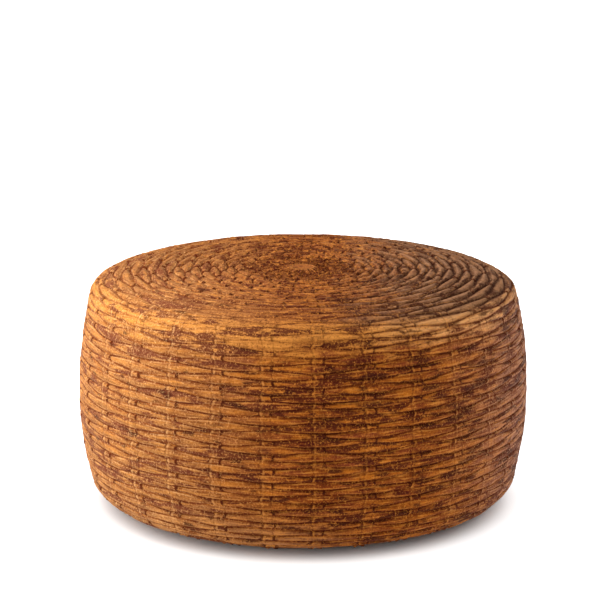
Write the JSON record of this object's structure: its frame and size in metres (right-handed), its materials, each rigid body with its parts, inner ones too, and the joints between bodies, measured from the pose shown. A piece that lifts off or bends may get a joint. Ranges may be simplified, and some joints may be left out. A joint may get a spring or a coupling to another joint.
{
  "type": "cheese wheel",
  "caption": "Whole wheel of hard sheep's milk cheese with bulging sides and a rind printed all over by a woven basket mould.",
  "frame": {"origin": "middle of the wheel's bounding box at its base, on the flat face that the wheel stands on", "axes": "+Z is the wheel's axis and points up to the printed top face; -Y faces the camera of the picture and +X is to its right"},
  "size_m": [0.239, 0.24, 0.1261],
  "materials": {
    "rind": "satin, oiled and cured rind, tan to orange-brown with dark brown in the creases"
  },
  "bodies": {
    "root": {"cheese_wheel": "rind"}
  },
  "joints": []
}
